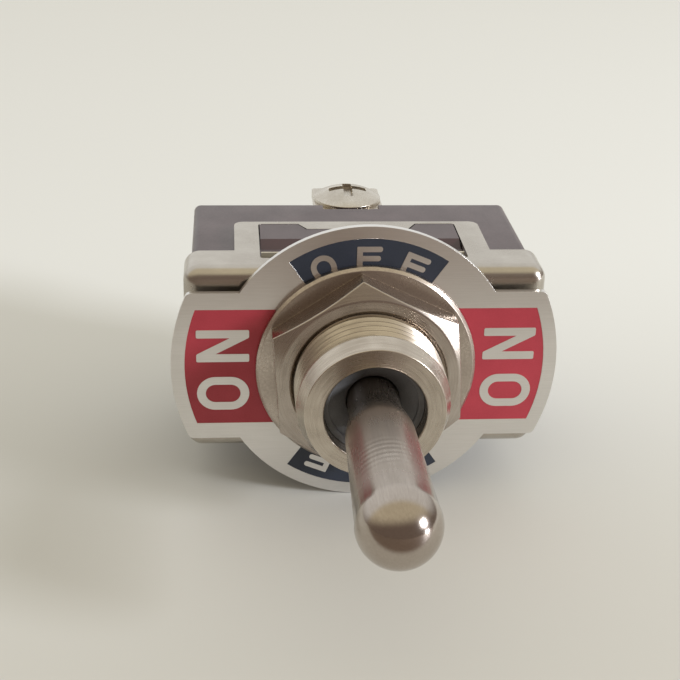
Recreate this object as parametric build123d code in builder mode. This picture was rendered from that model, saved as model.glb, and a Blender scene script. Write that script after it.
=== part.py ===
"""Panel toggle switch: three positions, centre off, screw terminals, legend plate.

Millimetres. The lever points along -Y, the long side of the body lies along X and +Z is up.
The origin is where the bushing's axis meets the front face of the sheet cover, which is the
seat that bears on the back of a panel.
"""
import os
from math import asin, cos, radians, sin, tan

from build123d import *

os.makedirs("parts", exist_ok=True)

# Clearances
running_gap = 0.05
seat_gap = 0.02
loose_gap = 0.1
contact_gap = 0.06

# Moulded base
base_length = 27.9
base_width = 15.0
base_front = 3.85
base_rear = 16.3
end_wall = 2.55
side_wall = 1.4
floor_t = 2.8
base_corner_r = 0.6
base_edge_r = 0.25
rib_t = 1.0
rib_clear = 0.65
rib_top = 5.2
notch_width = 5.0
notch_depth = 0.5
notch_length = 1.2

# Sheet cover
sheet_t = 0.45
bend_r = 1.1
cover_corner_r = 1.3
skirt_depth = 3.95
strap_half = 10.45
strap_end = 10.5
strap_corner_r = 0.8
window_half = 8.4
window_front = 2.3
window_corner_r = 0.3
rail_width = 0.55
tongue_half = 5.0
tongue_tip_half = 4.3
tongue_length = 1.2
catch_start = 1.6
catch_ramp = 1.0

# Fibre sheet between cover and base
fibre_t = 0.2
fibre_slot_clear = 0.7
fibre_slot_r = 1.8

# Threaded bushing
thread_r = 5.95
thread_pitch_r = 5.7
thread_relief = 0.2
bushing_height = 9.17
thread_end = 7.8
nose_face_r = 5.38
bore_r = 3.9
bore_depth = 6.27
spigot_r = 5.2
flare_r = 5.9
flare_t = 0.6
mouth_chamfer = 0.1

# Dust seal in the mouth of the bushing
seal_recess = 1.3
seal_lip = 0.5
seal_gap = 0.15

# Lever, its pivot and its swing
pivot_y = -1.0
lever_swing = 11.0
ball_r = 3.2
ball_gap = 0.3
neck_r = 2.0
neck_end = -8.9
shaft_mid_r = 2.6
shaft_mid_y = -13.0
shaft_end_r = 2.88
tip_r = 2.95
tip_end = -26.9
tail_r = 2.2
tail_end = 5.5
tail_chamfer = 0.3
spring_bore_end = 0.5
pin_r = 0.8
pin_recess = 0.75

# Plunger and its spring
plunger_r = 1.25
nose_r = 0.9
plunger_back = 3.4
plunger_taper = 6.8
spigot_length = 0.8
wire_d = 0.35
wire_sides = 6
spring_turns = 4
spring_side_gap = 0.18

# Rocker, its fulcrum and the contacts
fulcrum_y = 10.6
rocker_tilt = 7.5
nose_height = 1.9
trunnion_r = 0.6
rocker_half_width = 2.1
arm_margin = 1.3
arm_top = 0.9
arm_t = 0.8
cradle_half = 2.4
hump_half = 3.1
hump_foot = 4.2
belly_half = 1.3
belly_depth = 0.75
belly_shoulder = 2.2
contact_inset = 1.2
moving_r = 1.2
moving_h = 0.6
dome_r = 3.0
rivet_r = 0.6
rivet_head_r = 0.95
rivet_head_t = 0.2
fixed_r = 1.25

# Terminals
strip_t = 0.8
strip_width = 5.0
strip_bend_r = 0.5
lug_margin = 3.3
lug_corner_r = 1.2
saddle_t = 0.7
saddle_base_t = 0.6
saddle_half = 1.8
saddle_ear_half = 1.5

# Terminal screws and their square washers
screw_r = 1.75
screw_tail = 2.2
head_r = 3.05
head_h = 1.2
head_side_h = 0.3
slot_width = 0.8
slot_length = 3.4
slot_depth = 0.7
clamp_side = 6.2
clamp_t = 0.8
clamp_corner_r = 0.35
clamp_off_face = 0.1

# Front hardware
lock_t = 0.6
lock_r = 9.2
lock_ring_r = 7.8
lock_teeth = 12
lock_tooth_width = 1.7
plate_t = 0.5
plate_r = 12.0
wing_r = 15.6
wing_half = 6.45
wing_corner_r = 0.5
enamel_t = 0.1
enamel_sink = 0.02
on_edge = 1.4
on_border = 1.1
off_border = 1.0
off_half_angle = 34.5
washer_t = 0.7
legend_band = 3.15
washer_chamfer = 0.25
nut_flats = 14.6
nut_t = 2.4
nut_turn = 4.5
nut_face_r = 7.1
nut_lead_r = 6.2
nut_chamfer_angle = 30.0

# Places that follow from the sizes above
base_half_x = base_length / 2
base_half_z = base_width / 2
cavity_half_x = base_half_x - end_wall
cavity_half_z = base_half_z - side_wall
cavity_floor = base_rear - floor_t
cover_in_x = base_half_x + loose_gap
cover_in_z = base_half_z + loose_gap
cover_half_x = cover_in_x + sheet_t
cover_half_z = cover_in_z + sheet_t
window_rear = strap_end - rail_width
tongue_tip = window_rear - tongue_length
catch_front = base_front + catch_start
lug_top = cavity_half_z - running_gap
strip_top = cavity_floor - strip_t
screw_y = base_rear + clamp_off_face + clamp_side / 2
lug_end = screw_y + lug_margin
end_terminal_x = cavity_half_x - loose_gap - strip_width / 2
contact_x = end_terminal_x - contact_inset
rib_x = end_terminal_x / 2
arm_half = contact_x + arm_margin
swing = radians(lever_swing)
tilt = radians(rocker_tilt)
chamber_r = ball_r + ball_gap
lock_front = -lock_t
plate_front = lock_front - plate_t
washer_front = plate_front - washer_t
nut_front = washer_front - nut_t
hole_r = thread_r + loose_gap
washer_r = plate_r - legend_band
field_inner_r = (hole_r + washer_r) / 2


def facing(y):
    """A plane across the bushing's axis, seen from the lever: x is X, y is Z, forward is -Y."""
    return Plane((0, y, 0), x_dir=(1, 0, 0), z_dir=(0, -1, 0))


def save(piece, name):
    """Label a finished piece and write it under its own name."""
    piece.label = name
    export_step(piece, f"parts/{name}.step")


# Base: a deep moulded box, open towards the lever, with a catch block on each flank
with BuildPart() as base_moulding:
    with BuildSketch(facing(base_rear)):
        RectangleRounded(base_length, base_width, base_corner_r)
    extrude(amount=base_rear - base_front)
    fillet(base_moulding.faces().sort_by(Axis.Y)[-1].edges(), base_edge_r)
    with BuildSketch(Plane.YZ) as catch:
        with BuildLine():
            Polyline(
                (catch_front, base_half_z - sheet_t),
                (catch_front, base_half_z),
                (catch_front + catch_ramp, cover_half_z),
                (window_rear - loose_gap, cover_half_z),
                (window_rear - loose_gap, base_half_z - sheet_t),
                close=True,
            )
        make_face()
        mirror(about=Plane.XZ)
    extrude(amount=window_half - loose_gap, both=True)
    with BuildSketch(Plane.XY) as tongue_relief:
        with BuildLine():
            Polyline(
                (-tongue_half - loose_gap, strap_end),
                (-tongue_half - loose_gap, window_rear),
                (-tongue_tip_half - loose_gap, tongue_tip - loose_gap),
                (tongue_tip_half + loose_gap, tongue_tip - loose_gap),
                (tongue_half + loose_gap, window_rear),
                (tongue_half + loose_gap, strap_end),
                close=True,
            )
        make_face()
    for side in (-1, 1):
        with BuildSketch(Plane.XY.offset(side * base_half_z)):
            add(tongue_relief.sketch)
        extrude(amount=side * 2 * sheet_t, mode=Mode.SUBTRACT)
    with BuildSketch(facing(base_front)):
        RectangleRounded(2 * cavity_half_x, 2 * cavity_half_z, base_corner_r / 2)
    extrude(amount=base_front - cavity_floor, mode=Mode.SUBTRACT)
    with BuildSketch(facing(cavity_floor)):
        with Locations((-rib_x, 0), (rib_x, 0)):
            Rectangle(rib_t, 2 * cavity_half_z)
        Rectangle(4 * rib_x, 2 * (rocker_half_width + rib_clear), mode=Mode.SUBTRACT)
    extrude(amount=cavity_floor - rib_top)
    with BuildSketch(facing(base_rear)):
        with Locations((0, lug_top - strip_t / 2)):
            Rectangle(strip_width + 2 * seat_gap, strip_t + 2 * seat_gap)
        with Locations(*[(side * end_terminal_x, strip_t / 2 - lug_top) for side in (-1, 1)]):
            Rectangle(strip_width + 2 * seat_gap, strip_t + 2 * seat_gap)
    extrude(amount=floor_t + strip_t, mode=Mode.SUBTRACT)
    with BuildSketch(facing(base_rear)):
        with Locations((0, base_half_z)):
            Rectangle(notch_width, 2 * notch_depth)
        with Locations(*[(side * end_terminal_x, -base_half_z) for side in (-1, 1)]):
            Rectangle(notch_width, 2 * notch_depth)
    extrude(amount=notch_length, mode=Mode.SUBTRACT)
save(base_moulding.part, "base_moulding")

# Cover: one folded sheet, a shallow tray with a windowed strap down each flank
with BuildPart() as cover_hollow:
    with BuildSketch(facing(sheet_t)):
        RectangleRounded(2 * cover_in_x, 2 * cover_in_z, cover_corner_r - sheet_t)
    extrude(amount=-strap_end)
    fillet(cover_hollow.faces().sort_by(Axis.Y)[0].edges(), bend_r - sheet_t)

with BuildPart() as steel_cover:
    with BuildSketch(facing(0)):
        RectangleRounded(2 * cover_half_x, 2 * cover_half_z, cover_corner_r)
    extrude(amount=-skirt_depth)
    fillet(steel_cover.faces().sort_by(Axis.Y)[0].edges(), bend_r)
    with BuildSketch(Plane.XY.offset(cover_in_z)) as strap:
        with Locations((0, (bend_r + strap_end) / 2)):
            Rectangle(2 * strap_half, strap_end - bend_r)
        fillet(strap.vertices().group_by(Axis.Y)[-1], strap_corner_r)
    extrude(amount=sheet_t)
    mirror(about=Plane.XY)
    add(cover_hollow.part, mode=Mode.SUBTRACT)
    with BuildSketch(Plane.XY) as window:
        with Locations((0, (window_front + window_rear) / 2)):
            Rectangle(2 * window_half, window_rear - window_front)
        fillet(window.vertices(), window_corner_r)
        with BuildLine():
            Polyline(
                (-tongue_half, window_rear),
                (-tongue_tip_half, tongue_tip),
                (tongue_tip_half, tongue_tip),
                (tongue_half, window_rear),
                close=True,
            )
        make_face(mode=Mode.SUBTRACT)
    extrude(amount=cover_half_z + sheet_t, both=True, mode=Mode.SUBTRACT)
    with BuildSketch(facing(0)):
        Circle(spigot_r + seat_gap)
    extrude(amount=-sheet_t, mode=Mode.SUBTRACT)
save(steel_cover.part, "steel_cover")

# Fibre sheet: keeps the live parts off the cover, with a tab in each window
slot_half_x = (base_front - pivot_y) * tan(swing) + tail_r / cos(swing) + fibre_slot_clear
slot_half_z = tail_r + fibre_slot_clear
with BuildPart() as insulating_sheet:
    with BuildSketch(facing(base_front)):
        RectangleRounded(2 * (cover_in_x - running_gap), 2 * (cover_in_z - running_gap),
                         cover_corner_r - sheet_t)
        Rectangle(2 * (window_half - loose_gap), 2 * (cover_half_z - loose_gap))
        RectangleRounded(2 * slot_half_x, 2 * slot_half_z, fibre_slot_r, mode=Mode.SUBTRACT)
    extrude(amount=fibre_t)
save(insulating_sheet.part, "insulating_sheet")

# Bushing: threaded outside, staked into the cover, bored for the seal and the lever's ball.
# The thread stands at its crests where it is free, and at its pitch radius where the nut grips it
bore_shoulder = bore_depth - bushing_height
with BuildPart() as bushing:
    with BuildSketch(Plane.XY):
        with BuildLine():
            Polyline(
                (bore_r + mouth_chamfer, -bushing_height),
                (nose_face_r, -bushing_height),
                (thread_r, -thread_end),
                (thread_r, nut_front - thread_relief),
                (thread_pitch_r, nut_front - thread_relief),
                (thread_pitch_r, 0),
                (spigot_r, 0),
                (spigot_r, sheet_t),
                (flare_r, sheet_t),
                (flare_r - flare_t / 2, sheet_t + flare_t),
                (chamber_r, sheet_t + flare_t),
                (chamber_r, bore_shoulder),
                (bore_r, bore_shoulder),
                (bore_r, mouth_chamfer - bushing_height),
                close=True,
            )
        make_face()
    revolve(axis=Axis.Y)
    with BuildSketch(Plane.XY):
        with Locations((0, pivot_y)):
            Circle(pin_r + seat_gap)
    extrude(amount=thread_r + 1, both=True, mode=Mode.SUBTRACT)
save(bushing.part, "bushing")

# Dust seal: a funnel that follows the cone the lever sweeps
seal_front = seal_recess - bushing_height
seal_front_r = neck_r / cos(swing) + (pivot_y - seal_front) * tan(swing) + seal_gap
seal_rear_r = (ball_r**2 - (pivot_y - bore_shoulder) ** 2) ** 0.5 + ball_gap
with BuildPart() as dust_seal:
    with BuildSketch(Plane.XY):
        with BuildLine():
            Polyline(
                (bore_r - seat_gap, seal_front),
                (bore_r - seat_gap, bore_shoulder),
                (seal_rear_r, bore_shoulder),
                (seal_rear_r, bore_shoulder - seal_lip),
                (seal_front_r, seal_front + seal_lip),
                (seal_front_r, seal_front),
                close=True,
            )
        make_face()
    revolve(axis=Axis.Y)
save(dust_seal.part, "dust_seal")

# Pivot pin: through the bushing and the lever's ball
with BuildPart() as pivot_pin:
    with BuildSketch(Plane.XY):
        with Locations((0, pivot_y)):
            Circle(pin_r)
    extrude(amount=thread_r - pin_recess, both=True)
    chamfer(pivot_pin.edges().filter_by(GeomType.CIRCLE), pin_r / 4)
save(pivot_pin.part, "pivot_pin")

# Lever: a turned bat with a round tip, a ball at the pivot and a bored tail
tip_centre = tip_end + tip_r
tip_join = tip_centre + (tip_r**2 - shaft_end_r**2) ** 0.5
ball_neck = pivot_y - (ball_r**2 - neck_r**2) ** 0.5
ball_tail = pivot_y + (ball_r**2 - tail_r**2) ** 0.5
with BuildPart() as lever:
    with BuildSketch(Plane.XY):
        with BuildLine():
            Line((0, tail_end), (0, tip_end))
            ThreePointArc((0, tip_end), (tip_r, tip_centre), (shaft_end_r, tip_join))
            Line((shaft_end_r, tip_join), (shaft_mid_r, shaft_mid_y))
            TangentArc(
                (shaft_mid_r, shaft_mid_y),
                (neck_r, neck_end),
                tangent=(shaft_mid_r - shaft_end_r, shaft_mid_y - tip_join),
            )
            Line((neck_r, neck_end), (neck_r, ball_neck))
            ThreePointArc((neck_r, ball_neck), (ball_r, pivot_y), (tail_r, ball_tail))
            Line((tail_r, ball_tail), (tail_r, tail_end))
            Line((tail_r, tail_end), (0, tail_end))
        make_face()
    revolve(axis=Axis.Y)
    chamfer(lever.edges().sort_by(Axis.Y)[-1], tail_chamfer)
    with BuildSketch(facing(tail_end)):
        Circle(plunger_r + running_gap)
    extrude(amount=tail_end - spring_bore_end, mode=Mode.SUBTRACT)
    with BuildSketch(Plane.XY):
        with Locations((0, pivot_y)):
            Circle(pin_r + running_gap)
    extrude(amount=ball_r, both=True, mode=Mode.SUBTRACT)
save(lever.part, "lever")

# Plunger: slides in the lever's tail and presses on the rocker
nose_centre = fulcrum_y - nose_height
spring_coil_r = plunger_r - spring_side_gap - wire_d / 2
spigot_fit_r = spring_coil_r - wire_d / 2 - loose_gap
with BuildPart() as plunger:
    with BuildSketch(Plane.XY):
        with BuildLine():
            Polyline(
                (nose_r, nose_centre),
                (plunger_r, plunger_taper),
                (plunger_r, plunger_back),
                (spigot_fit_r, plunger_back),
                (spigot_fit_r, plunger_back - spigot_length),
                (0, plunger_back - spigot_length),
                (0, nose_centre + nose_r),
            )
            ThreePointArc(
                (0, nose_centre + nose_r),
                (nose_r * sin(radians(45)), nose_centre + nose_r * cos(radians(45))),
                (nose_r, nose_centre),
            )
        make_face()
    revolve(axis=Axis.Y)
save(plunger.part, "plunger")

# Spring: coils between the bottom of the bore and the plunger's shoulder
spring_start = spring_bore_end + wire_d / 2 + seat_gap
spring_stop = plunger_back - wire_d / 2 - seat_gap
with BuildPart() as plunger_spring:
    with BuildLine() as coil:
        Helix(
            pitch=(spring_stop - spring_start) / spring_turns,
            height=spring_stop - spring_start,
            radius=spring_coil_r,
            center=(0, spring_start, 0),
            direction=(0, 1, 0),
        )
    with BuildSketch(Plane(coil.edge() @ 0, z_dir=coil.edge() % 0)):
        RegularPolygon(wire_d / 2, wire_sides)
    sweep(is_frenet=True)
save(plunger_spring.part, "plunger_spring")

# Rocker: its cradle is the path of the plunger's nose, seen from the rocker as both turn
nose_arm = nose_centre - pivot_y
nose_dx = nose_arm * sin(swing)
nose_dy = fulcrum_y - pivot_y - nose_arm * cos(swing)
path_x = nose_dx * cos(tilt) - nose_dy * sin(tilt)
path_h = nose_dx * sin(tilt) + nose_dy * cos(tilt)
path_rise = path_h - nose_height
path_r = (path_x**2 + path_rise**2) / (2 * path_rise)
cradle_r = path_r + nose_r + contact_gap
cradle_centre = fulcrum_y - nose_height - path_r
cradle_edge = cradle_centre + (cradle_r**2 - cradle_half**2) ** 0.5
arm_face = fulcrum_y - arm_top + arm_t
ear_inner = rocker_half_width + 2 * loose_gap
ear_outer = ear_inner + saddle_t
trunnion_half = ear_outer + loose_gap
with BuildPart() as rocker:
    with BuildSketch(Plane.XY):
        with BuildLine():
            ThreePointArc((0, cradle_centre + cradle_r),
                          (cradle_r * sin(radians(15)), cradle_centre + cradle_r * cos(radians(15))),
                          (cradle_half, cradle_edge))
            Polyline(
                (cradle_half, cradle_edge),
                (hump_half, cradle_edge),
                (hump_foot, fulcrum_y - arm_top),
                (arm_half, fulcrum_y - arm_top),
                (arm_half, arm_face),
                (belly_shoulder, arm_face),
                (belly_half, fulcrum_y + belly_depth),
                (0, fulcrum_y + belly_depth),
            )
            mirror(about=Plane.YZ)
        make_face()
    extrude(amount=rocker_half_width, both=True)
    with BuildSketch(Plane.XY):
        with Locations((0, fulcrum_y)):
            Circle(trunnion_r)
    extrude(amount=trunnion_half, both=True)
    with BuildSketch(facing(arm_face)):
        with Locations((-contact_x, 0), (contact_x, 0)):
            Circle(rivet_r + seat_gap)
    extrude(amount=arm_t, mode=Mode.SUBTRACT)
save(rocker.part, "rocker")

# Moving contacts: domed rivets through the rocker's arms
button_face = arm_face + moving_h
for side, hand in ((-1, "left"), (1, "right")):
    with BuildPart() as moving_contact:
        with BuildSketch(Plane.XY):
            with BuildLine():
                dome_drop = dome_r - (dome_r**2 - moving_r**2) ** 0.5
                Polyline(
                    (0, button_face),
                    (0, arm_face - arm_t - rivet_head_t),
                    (rivet_head_r, arm_face - arm_t - rivet_head_t),
                    (rivet_head_r, arm_face - arm_t),
                    (rivet_r, arm_face - arm_t),
                    (rivet_r, arm_face),
                    (moving_r, arm_face),
                    (moving_r, button_face - dome_drop),
                )
                half_angle = asin(moving_r / dome_r) / 2
                ThreePointArc(
                    (moving_r, button_face - dome_drop),
                    (dome_r * sin(half_angle), button_face - dome_r * (1 - cos(half_angle))),
                    (0, button_face),
                )
            make_face()
        revolve(axis=Axis.Y)
    save(Pos(side * contact_x, 0, 0) * moving_contact.part, f"moving_contact_{hand}")

# Saddle: a folded bracket on the common terminal whose open notches carry the trunnions
saddle_floor = strip_top
with BuildPart() as fulcrum_saddle:
    with BuildSketch(facing(saddle_floor)):
        Rectangle(2 * saddle_half, 2 * ear_outer)
    extrude(amount=saddle_base_t)
    for side in (-1, 1):
        with BuildSketch(Plane.XY.offset(side * ear_inner)) as ear:
            with Locations((0, (saddle_floor + fulcrum_y - trunnion_r) / 2)):
                Rectangle(2 * saddle_ear_half, saddle_floor - fulcrum_y + trunnion_r)
            with Locations((0, fulcrum_y)):
                Circle(trunnion_r + running_gap, mode=Mode.SUBTRACT)
            with Locations((0, fulcrum_y - trunnion_r)):
                Rectangle(2 * (trunnion_r + running_gap), 2 * trunnion_r, mode=Mode.SUBTRACT)
        extrude(amount=side * saddle_t)
save(fulcrum_saddle.part, "fulcrum_saddle")

# Terminals: folded strips, from a foot on the cavity's floor out through the base's rear
lug_bottom = lug_top - strip_t
common_reach = lug_top + ear_outer + loose_gap
end_reach = lug_top + rocker_half_width


def terminal(foot_reach, screw_hole_r):
    """A folded strip for a lug at +Z: its foot lies on the floor and reaches inwards."""
    with BuildPart() as strip:
        with BuildSketch(Plane.YZ) as fold:
            with BuildLine():
                Polyline(
                    (lug_end, lug_top),
                    (strip_top, lug_top),
                    (strip_top, lug_top - foot_reach),
                    (cavity_floor, lug_top - foot_reach),
                    (cavity_floor, lug_bottom),
                    (lug_end, lug_bottom),
                    close=True,
                )
            make_face()
            fillet(fold.vertices().sort_by_distance((0, strip_top, lug_top))[0], strip_bend_r)
        extrude(amount=strip_width / 2, both=True)
        fillet(strip.edges().filter_by(Axis.Z).group_by(Axis.Y)[-1], lug_corner_r)
        with BuildSketch(Plane.XY):
            with Locations((0, screw_y)):
                Circle(screw_hole_r)
        extrude(amount=lug_top + strip_t, mode=Mode.SUBTRACT)
    return strip.part


# Screws and square clamp washers
clamp_top = lug_top + clamp_t
with BuildPart() as clamp_washer:
    with BuildSketch(Plane.XY.offset(lug_top)):
        with Locations((0, screw_y)):
            RectangleRounded(clamp_side, clamp_side, clamp_corner_r)
            Circle(screw_r + loose_gap, mode=Mode.SUBTRACT)
    extrude(amount=clamp_t)

dome_rise = head_h - head_side_h
head_dome_r = (head_r**2 + dome_rise**2) / (2 * dome_rise)
head_arc = asin(head_r / head_dome_r) / 2
screw_plane = Plane((0, screw_y, clamp_top), x_dir=(1, 0, 0), z_dir=(0, -1, 0))
with BuildPart() as terminal_screw:
    with BuildSketch(screw_plane):
        with BuildLine():
            Polyline(
                (0, head_h),
                (0, -clamp_t - strip_t - screw_tail),
                (screw_r - mouth_chamfer, -clamp_t - strip_t - screw_tail),
                (screw_r, mouth_chamfer - clamp_t - strip_t - screw_tail),
                (screw_r, 0),
                (head_r, 0),
                (head_r, head_side_h),
            )
            ThreePointArc(
                (head_r, head_side_h),
                (head_dome_r * sin(head_arc), head_h - head_dome_r * (1 - cos(head_arc))),
                (0, head_h),
            )
        make_face()
    revolve(axis=Axis((0, screw_y, 0), (0, 0, 1)))
    with BuildSketch(Plane.XY.offset(clamp_top + head_h - slot_depth)):
        with Locations((0, screw_y)):
            Rectangle(slot_length, slot_width)
            Rectangle(slot_width, slot_length)
    extrude(amount=slot_depth, mode=Mode.SUBTRACT)

# One terminal looks up from the middle, and two look down from the ends
turned = Rot(0, 180, 0)
terminal_places = (
    ("common", Pos(0, 0, 0), common_reach),
    ("left", Pos(-end_terminal_x, 0, 0) * turned, end_reach),
    ("right", Pos(end_terminal_x, 0, 0) * turned, end_reach),
)
for where, place, foot_reach in terminal_places:
    save(place * terminal(foot_reach, screw_r + seat_gap), f"terminal_{where}")
    save(place * clamp_washer.part, f"clamp_washer_{where}")
    save(place * terminal_screw.part, f"terminal_screw_{where}")

# Fixed contacts: buttons on the end terminals, just short of the closed rocker
closed_face = fulcrum_y + contact_x * sin(tilt) + (moving_h - arm_top + arm_t - dome_r) * cos(tilt) + dome_r
with BuildPart() as fixed_contact:
    with BuildSketch(facing(strip_top)):
        Circle(fixed_r)
    extrude(amount=strip_top - closed_face - contact_gap)
    chamfer(fixed_contact.faces().sort_by(Axis.Y)[0].edges(), rivet_head_t / 2)
for side, hand in ((-1, "left"), (1, "right")):
    save(Pos(side * contact_x, 0, 0) * fixed_contact.part, f"fixed_contact_{hand}")

# Lock washer: a flat ring with teeth turned inwards to the thread
with BuildPart() as lock_washer:
    with BuildSketch(facing(0)):
        Circle(lock_r)
        Circle(lock_ring_r, mode=Mode.SUBTRACT)
        with PolarLocations((hole_r + lock_ring_r) / 2 + lock_t / 2, lock_teeth):
            Rectangle(lock_ring_r - hole_r, lock_tooth_width)
        Circle(hole_r, mode=Mode.SUBTRACT)
    extrude(amount=lock_t)
save(lock_washer.part, "lock_washer")

on_half = wing_half - on_edge
on_outer_r = wing_r - on_border
off_outer_r = plate_r - off_border


def field(outer_r, half_height, half_angle, middle):
    """One field of the legend plate: a band of a disc, cut by a strip or by a wedge."""
    with BuildSketch(facing(plate_front + enamel_t)) as shape:
        Circle(outer_r)
        Circle(field_inner_r, mode=Mode.SUBTRACT)
        if half_height:
            with Locations((middle * outer_r, 0)):
                Rectangle(2 * outer_r, 2 * half_height, mode=Mode.INTERSECT)
        else:
            edge = 2 * outer_r * tan(radians(half_angle))
            with BuildLine():
                Polyline((0, 0), (edge, 2 * outer_r * middle), (-edge, 2 * outer_r * middle), close=True)
            make_face(mode=Mode.INTERSECT)
    return shape.sketch


fields = {
    "on_field_left": field(on_outer_r, on_half, 0, -1),
    "on_field_right": field(on_outer_r, on_half, 0, 1),
    "off_field_top": field(off_outer_r, 0, off_half_angle, 1),
    "off_field_bottom": field(off_outer_r, 0, off_half_angle, -1),
}

# Legend plate: a disc with two wings, and a shallow pocket for each enamelled field
with BuildPart() as legend_plate:
    with BuildSketch(facing(lock_front)):
        with BuildSketch(mode=Mode.PRIVATE) as wings:
            Circle(wing_r)
            Rectangle(4 * wing_r, 2 * wing_half, mode=Mode.INTERSECT)
            fillet(wings.vertices(), wing_corner_r)
        add(wings.sketch)
        Circle(plate_r)
        Circle(hole_r, mode=Mode.SUBTRACT)
    extrude(amount=plate_t)
    for shape in fields.values():
        add(extrude(shape, amount=enamel_t, mode=Mode.PRIVATE), mode=Mode.SUBTRACT)
save(legend_plate.part, "legend_plate")

for name, shape in fields.items():
    save(extrude(shape, amount=enamel_t - enamel_sink), name)

# Front washer and hexagon nut
with BuildPart() as front_washer:
    with BuildSketch(facing(plate_front)):
        Circle(washer_r)
        Circle(hole_r, mode=Mode.SUBTRACT)
    extrude(amount=washer_t)
    rim = front_washer.faces().sort_by(Axis.Y)[0].edges().sort_by(SortBy.RADIUS)[-1]
    chamfer(rim, washer_chamfer)
save(front_washer.part, "front_washer")

nut_bore_r = thread_pitch_r + seat_gap
nut_corner_r = nut_flats / 2 / cos(radians(30))
nut_drop = (nut_corner_r - nut_face_r) * tan(radians(nut_chamfer_angle))
with BuildPart() as front_nut:
    with BuildSketch(facing(washer_front)):
        RegularPolygon(nut_flats / 2, 6, major_radius=False, rotation=30 + nut_turn)
        Circle(nut_bore_r, mode=Mode.SUBTRACT)
    extrude(amount=nut_t)
    with BuildSketch(Plane.XY):
        with BuildLine():
            Polyline(
                (0, washer_front),
                (nut_corner_r, washer_front),
                (nut_corner_r, nut_front + nut_drop),
                (nut_face_r, nut_front),
                (nut_lead_r, nut_front),
                (nut_bore_r, nut_front + nut_lead_r - nut_bore_r),
                (0, nut_front + nut_lead_r - nut_bore_r),
                close=True,
            )
        make_face()
    revolve(axis=Axis.Y, mode=Mode.INTERSECT)
save(front_nut.part, "front_nut")
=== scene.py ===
"""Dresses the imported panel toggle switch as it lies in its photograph.

Every length in a class is in millimetres, and becomes metres where a mesh is made. The lever
points along -Y, the long side of the body lies along X and +Z is up, as in the CAD frame.
"""
import logging
import math
from dataclasses import dataclass
from enum import Enum
from typing import Any, Optional, Sequence

import bmesh
import bpy
from mathutils import Matrix, Vector
from mathutils.geometry import delaunay_2d_cdt


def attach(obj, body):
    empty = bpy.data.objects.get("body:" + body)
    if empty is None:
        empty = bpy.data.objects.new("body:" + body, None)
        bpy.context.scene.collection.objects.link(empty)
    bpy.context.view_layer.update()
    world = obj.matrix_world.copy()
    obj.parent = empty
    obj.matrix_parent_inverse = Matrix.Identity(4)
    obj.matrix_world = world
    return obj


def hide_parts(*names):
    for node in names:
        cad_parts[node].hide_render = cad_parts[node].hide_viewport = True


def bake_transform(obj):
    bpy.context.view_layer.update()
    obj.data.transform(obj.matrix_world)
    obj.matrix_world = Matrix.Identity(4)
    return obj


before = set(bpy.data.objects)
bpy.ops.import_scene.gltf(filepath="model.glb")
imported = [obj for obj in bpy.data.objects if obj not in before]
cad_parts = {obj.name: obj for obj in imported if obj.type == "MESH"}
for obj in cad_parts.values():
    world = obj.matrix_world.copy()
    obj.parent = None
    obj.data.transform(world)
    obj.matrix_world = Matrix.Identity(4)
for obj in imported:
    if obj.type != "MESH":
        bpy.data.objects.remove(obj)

MM = 0.001
WELD = 0.0005 * MM          # corners closer than this are one
FLAT = math.radians(0.6)    # faces closer in angle than this are one flat face
Point2 = tuple[float, float]
Point3 = tuple[float, float, float]
log = logging.getLogger("toggle_switch")


def srgb(colour: str) -> tuple[float, float, float, float]:
    """Turns a colour as written on a screen into the linear one that Blender mixes.

    Args:
        colour: sRGB hex digits, such as "a83240".

    Returns:
        Linear red, green, blue and an alpha of 1.
    """
    parts = [int(colour[i:i + 2], 16) / 255 for i in (0, 2, 4)]
    linear = [c / 12.92 if c <= 0.04045 else ((c + 0.055) / 1.055) ** 2.4 for c in parts]
    return linear[0], linear[1], linear[2], 1.0


def finished_mesh(bm: bmesh.types.BMesh, name: str) -> bpy.types.Mesh:
    """Turns the faces of a mesh in the making outwards, keeps it and frees the making.

    Args:
        bm: The mesh in the making.
        name: The mesh's name.

    Returns:
        The finished mesh.
    """
    bmesh.ops.recalc_face_normals(bm, faces=bm.faces)
    mesh = bpy.data.meshes.new(name)
    bm.to_mesh(mesh)
    bm.free()
    return mesh


def add_node(tree: bpy.types.NodeTree, kind: str, settings: Optional[dict[str, Any]] = None,
             inputs: Optional[dict[Any, Any]] = None) -> bpy.types.Node:
    """Adds one node to a tree, with its settings, its values and its links.

    Args:
        tree: The shader, world or geometry tree.
        kind: The node's Blender type name.
        settings: Properties of the node by name.
        inputs: Input sockets by name or index; a socket is linked and anything else is a value.

    Returns:
        The new node.
    """
    made = tree.nodes.new(kind)
    for key, value in (settings or {}).items():
        setattr(made, key, value)
    for key, value in (inputs or {}).items():
        if isinstance(value, bpy.types.NodeSocket):
            tree.links.new(value, made.inputs[key])
        else:
            made.inputs[key].default_value = value
    return made


class Grain(Enum):
    """The way in which a surface's marks run."""

    EVEN = "the same in every direction"
    TURNED = "rings about the switch's axis, left by a lathe tool"
    ROLLED = "lines along X, left by the rolling of the sheet"
    DRAWN = "lines along Y, left by drawing and polishing"


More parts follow.
